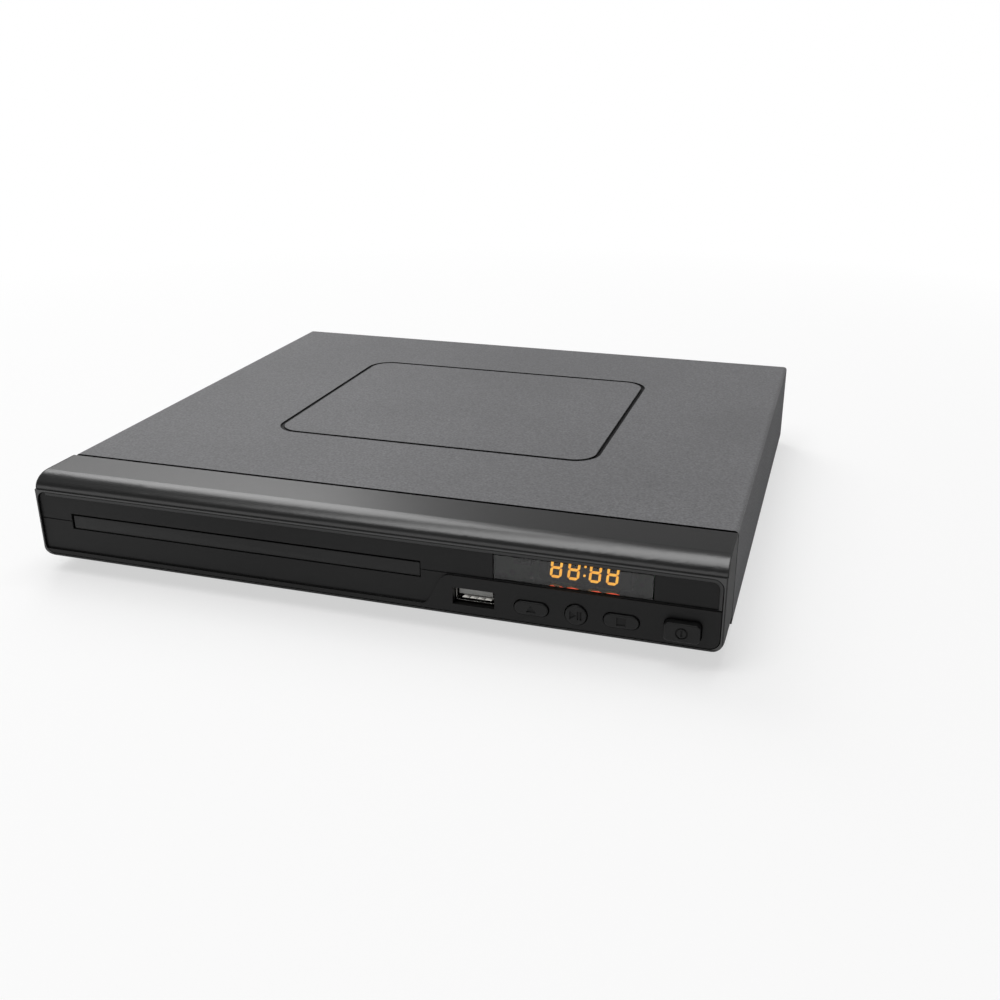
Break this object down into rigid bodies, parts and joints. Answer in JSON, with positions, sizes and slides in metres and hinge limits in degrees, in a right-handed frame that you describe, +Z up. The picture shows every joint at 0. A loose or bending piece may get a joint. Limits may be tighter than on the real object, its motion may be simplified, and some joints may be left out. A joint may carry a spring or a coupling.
{
  "type": "dvd player",
  "caption": "Compact disc player: folded steel case, bullnosed front with a motor-driven disc tray, lit clock display, USB socket and push buttons, and connectors at the rear",
  "frame": {"origin": "middle of the box round the player, on the surface that its feet stand on", "axes": "+X to the right seen from the front, +Y to the back, +Z up"},
  "size_m": [0.24, 0.2276, 0.0362],
  "materials": {
    "powder_coat": "dark grey powder coat",
    "zinc_steel": "zinc-coated sheet",
    "bezel_abs": "satin moulded",
    "fascia_abs": "semi-gloss black",
    "button_abs": "fine matt",
    "smoked_acrylic": "smoked, polished",
    "rubber_black": "matt",
    "screw_steel": "zinc plated",
    "board_green": "solder mask",
    "part_black": "moulded",
    "plunger_white": "moulded",
    "led_amber": "lit",
    "plated_steel": "nickel plated",
    "loader_abs": "moulded black",
    "acetal_white": "natural acetal",
    "motor_can": "drawn steel",
    "ferrite": "sintered",
    "coil_tape": "taped winding",
    "can_sleeve": "shrink sleeve",
    "lens_glass": "coated"
  },
  "bodies": {
    "case": {"bottom_chassis": "zinc_steel", "top_cover": "powder_coat", "front_bezel": "bezel_abs", "fascia_plate": "fascia_abs", "display_window": "smoked_acrylic", "feet": "rubber_black", "case_screws": "screw_steel", "board_screws": "screw_steel", "loader_screws": "screw_steel", "key_switches": "part_black", "front_board": "board_green", "led_display": "part_black", "led_segments": "led_amber", "ir_receiver": "part_black", "port_shell": "plated_steel", "port_tongue": "plunger_white", "loader_frame": "loader_abs", "loader_motor": "motor_can", "drive_belt": "rubber_black", "clamper_bridge": "loader_abs", "main_board": "board_green", "power_board": "board_green", "main_chips": "part_black", "capacitors": "can_sleeve", "transformer": "coil_tape", "video_socket": "plated_steel", "jack_housing": "part_black", "jack_barrels": "plated_steel", "mains_inlet": "part_black", "front_ribbon": "plunger_white"},
    "tray": {"disc_tray": "loader_abs", "tray_door": "fascia_abs"},
    "tray_gear": {"tray_gear": "acetal_white"},
    "pulley_gear": {"pulley_gear": "acetal_white"},
    "motor_pulley": {"motor_pulley": "acetal_white"},
    "cam_slider": {"cam_slider": "acetal_white"},
    "traverse": {"traverse_frame": "loader_abs", "dampers": "rubber_black", "mech_plate": "motor_can", "mech_screws": "screw_steel", "spindle_motor": "motor_can", "guide_rods": "motor_can", "sled_motor": "motor_can"},
    "turntable": {"turntable": "acetal_white", "turntable_pad": "rubber_black"},
    "clamper": {"clamper": "acetal_white", "clamp_magnet": "ferrite"},
    "pickup": {"pickup": "loader_abs"},
    "lens": {"lens_holder": "loader_abs", "objective_lens": "lens_glass"},
    "sled_gear": {"sled_gear": "acetal_white"},
    "sled_pinion": {"sled_pinion": "acetal_white"},
    "eject_button": {"eject_button": "button_abs", "eject_plunger": "plunger_white"},
    "play_button": {"play_button": "button_abs", "play_plunger": "plunger_white"},
    "stop_button": {"stop_button": "button_abs", "stop_plunger": "plunger_white"},
    "power_button": {"power_button": "button_abs", "power_plunger": "plunger_white"}
  },
  "joints": [
    {"name": "tray_slide", "type": "slide", "parent": "case", "child": "tray", "axis": [0, -1, 0], "range_m": [0, 0.128]},
    {"name": "tray_gear_spin", "type": "hinge", "parent": "case", "child": "tray_gear", "pos_m": [0.0046, -0.08825, 0.0186], "axis": [0, 0, 1], "continuous": true},
    {"name": "pulley_gear_spin", "type": "hinge", "parent": "case", "child": "pulley_gear", "pos_m": [-0.0124, -0.08825, 0.016], "axis": [0, 0, 1], "continuous": true},
    {"name": "motor_pulley_spin", "type": "hinge", "parent": "case", "child": "motor_pulley", "pos_m": [-0.0474, -0.08825, 0.016], "axis": [0, 0, 1], "continuous": true},
    {"name": "cam_slide", "type": "slide", "parent": "case", "child": "cam_slider", "axis": [1, 0, 0], "range_m": [0, 0.022]},
    {"name": "traverse_tilt", "type": "hinge", "parent": "case", "child": "traverse", "pos_m": [-0.0414, 0.03775, 0.0144], "axis": [1, 0, 0], "range_deg": [0, 3]},
    {"name": "spindle_spin", "type": "hinge", "parent": "traverse", "child": "turntable", "pos_m": [-0.0414, -0.04225, 0.02], "axis": [0, 0, 1], "continuous": true},
    {"name": "clamper_spin", "type": "hinge", "parent": "case", "child": "clamper", "pos_m": [-0.0414, -0.04225, 0.027], "axis": [0, 0, 1], "continuous": true},
    {"name": "pickup_slide", "type": "slide", "parent": "traverse", "child": "pickup", "axis": [0, 1, 0], "range_m": [0, 0.034]},
    {"name": "sled_gear_spin", "type": "hinge", "parent": "traverse", "child": "sled_gear", "pos_m": [-0.0062, -0.00225, 0.01], "axis": [0, 0, 1], "continuous": true},
    {"name": "sled_pinion_spin", "type": "hinge", "parent": "traverse", "child": "sled_pinion", "pos_m": [-0.0019, 0.01149, 0.0095], "axis": [0, 0, 1], "continuous": true},
    {"name": "lens_focus", "type": "slide", "parent": "pickup", "child": "lens", "axis": [0, 0, 1], "range_m": [-0.0006, 0.0006], "stiffness_N_per_m": 60},
    {"name": "eject_press", "type": "slide", "parent": "case", "child": "eject_button", "axis": [0, 1, 0], "range_m": [0, 0.0005], "stiffness_N_per_m": 400, "springref_m": -0.001},
    {"name": "play_press", "type": "slide", "parent": "case", "child": "play_button", "axis": [0, 1, 0], "range_m": [0, 0.0005], "stiffness_N_per_m": 400, "springref_m": -0.001},
    {"name": "stop_press", "type": "slide", "parent": "case", "child": "stop_button", "axis": [0, 1, 0], "range_m": [0, 0.0005], "stiffness_N_per_m": 400, "springref_m": -0.001},
    {"name": "power_press", "type": "slide", "parent": "case", "child": "power_button", "axis": [0, 1, 0], "range_m": [0, 0.0025], "stiffness_N_per_m": 300, "springref_m": -0.002}
  ],
  "couplings": [
    {"joint": "tray_gear_spin", "follows": "tray_slide", "rad_per_m": -90.909},
    {"joint": "pulley_gear_spin", "follows": "tray_slide", "rad_per_m": 166.67},
    {"joint": "motor_pulley_spin", "follows": "tray_slide", "rad_per_m": 568.97},
    {"joint": "traverse_tilt", "follows": "cam_slide", "rad_per_m": 2.38},
    {"joint": "clamper_spin", "follows": "spindle_spin", "ratio": 1},
    {"joint": "sled_gear_spin", "follows": "pickup_slide", "rad_per_m": -238.1},
    {"joint": "sled_pinion_spin", "follows": "pickup_slide", "rad_per_m": 714.29}
  ]
}
